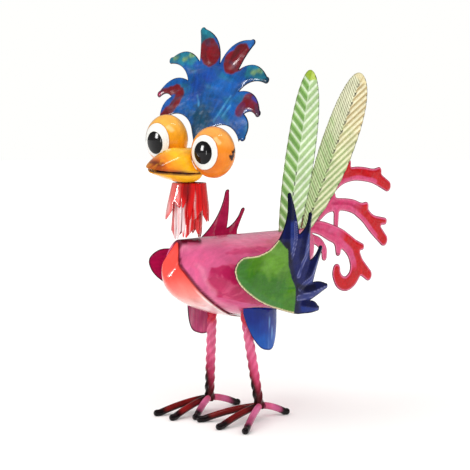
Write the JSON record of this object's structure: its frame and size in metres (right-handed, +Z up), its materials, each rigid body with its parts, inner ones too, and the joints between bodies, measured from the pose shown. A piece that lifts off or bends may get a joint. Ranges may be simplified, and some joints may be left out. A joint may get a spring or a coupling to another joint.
{
  "type": "metal rooster statue",
  "caption": "Standing garden rooster of painted sheet metal and rod, with goggle eyes, fan crest, spiked wings, leaf feathers and curled tail plumes.",
  "frame": {"origin": "bottom centre of the whole ornament's bounding box, on the floor", "axes": "+Z up, the bird faces -Y, its own left side is +X"},
  "size_m": [0.1284, 0.327, 0.3401],
  "materials": {
    "body_shell": "gloss, pink enamel",
    "breast_shell": "gloss, coral enamel",
    "hackle_inner": "gloss, salmon and white enamel",
    "hackle_outer": "gloss, scarlet enamel",
    "upper_beak": "gloss, yellow enamel shaded orange to black at the tip",
    "lower_beak": "gloss, yellow enamel",
    "eye_left": "gloss, orange enamel with a painted white and black eye",
    "eye_right": "gloss, orange enamel with a painted white and black eye",
    "crest": "gloss, blue enamel with maroon and teal patches",
    "wing_left": "gloss, green and navy enamel",
    "wing_right": "gloss, green and navy enamel",
    "thigh_left": "gloss, blue enamel",
    "thigh_right": "gloss, blue enamel outside, pink inside",
    "leg_left": "gloss, pink enamel, dark red at the foot",
    "leg_right": "gloss, pink enamel, dark red at the foot",
    "tail_feather_front": "gloss, light green enamel with pale ribs",
    "tail_feather_back": "gloss, pale yellow-green enamel with pale ribs",
    "tail_plume_upper": "gloss, pink enamel with red tips",
    "tail_plume_middle": "gloss, pink enamel with red tips",
    "tail_plume_lower": "gloss, pink enamel with red tips",
    "tail_plume_bottom": "gloss, pink enamel",
    "toe_left_inner": "gloss, dark red enamel, black at the tip",
    "toe_left_middle": "gloss, dark red enamel, black at the tip",
    "toe_left_outer": "gloss, dark red enamel, black at the tip",
    "toe_left_rear": "gloss, dark red enamel, black at the tip",
    "toe_right_inner": "gloss, dark red enamel, black at the tip",
    "toe_right_middle": "gloss, dark red enamel, black at the tip",
    "toe_right_outer": "gloss, dark red enamel, black at the tip",
    "toe_right_rear": "gloss, dark red enamel, black at the tip"
  },
  "bodies": {
    "root": {"body_shell": "body_shell", "breast_shell": "breast_shell", "hackle_inner": "hackle_inner", "hackle_outer": "hackle_outer", "upper_beak": "upper_beak", "lower_beak": "lower_beak", "eye_left": "eye_left", "eye_right": "eye_right", "crest": "crest", "wing_left": "wing_left", "wing_right": "wing_right", "thigh_left": "thigh_left", "thigh_right": "thigh_right", "leg_left": "leg_left", "leg_right": "leg_right", "tail_feather_front": "tail_feather_front", "tail_feather_back": "tail_feather_back", "tail_plume_upper": "tail_plume_upper", "tail_plume_middle": "tail_plume_middle", "tail_plume_lower": "tail_plume_lower", "tail_plume_bottom": "tail_plume_bottom", "toe_left_inner": "toe_left_inner", "toe_left_middle": "toe_left_middle", "toe_left_outer": "toe_left_outer", "toe_left_rear": "toe_left_rear", "toe_right_inner": "toe_right_inner", "toe_right_middle": "toe_right_middle", "toe_right_outer": "toe_right_outer", "toe_right_rear": "toe_right_rear"}
  },
  "joints": []
}
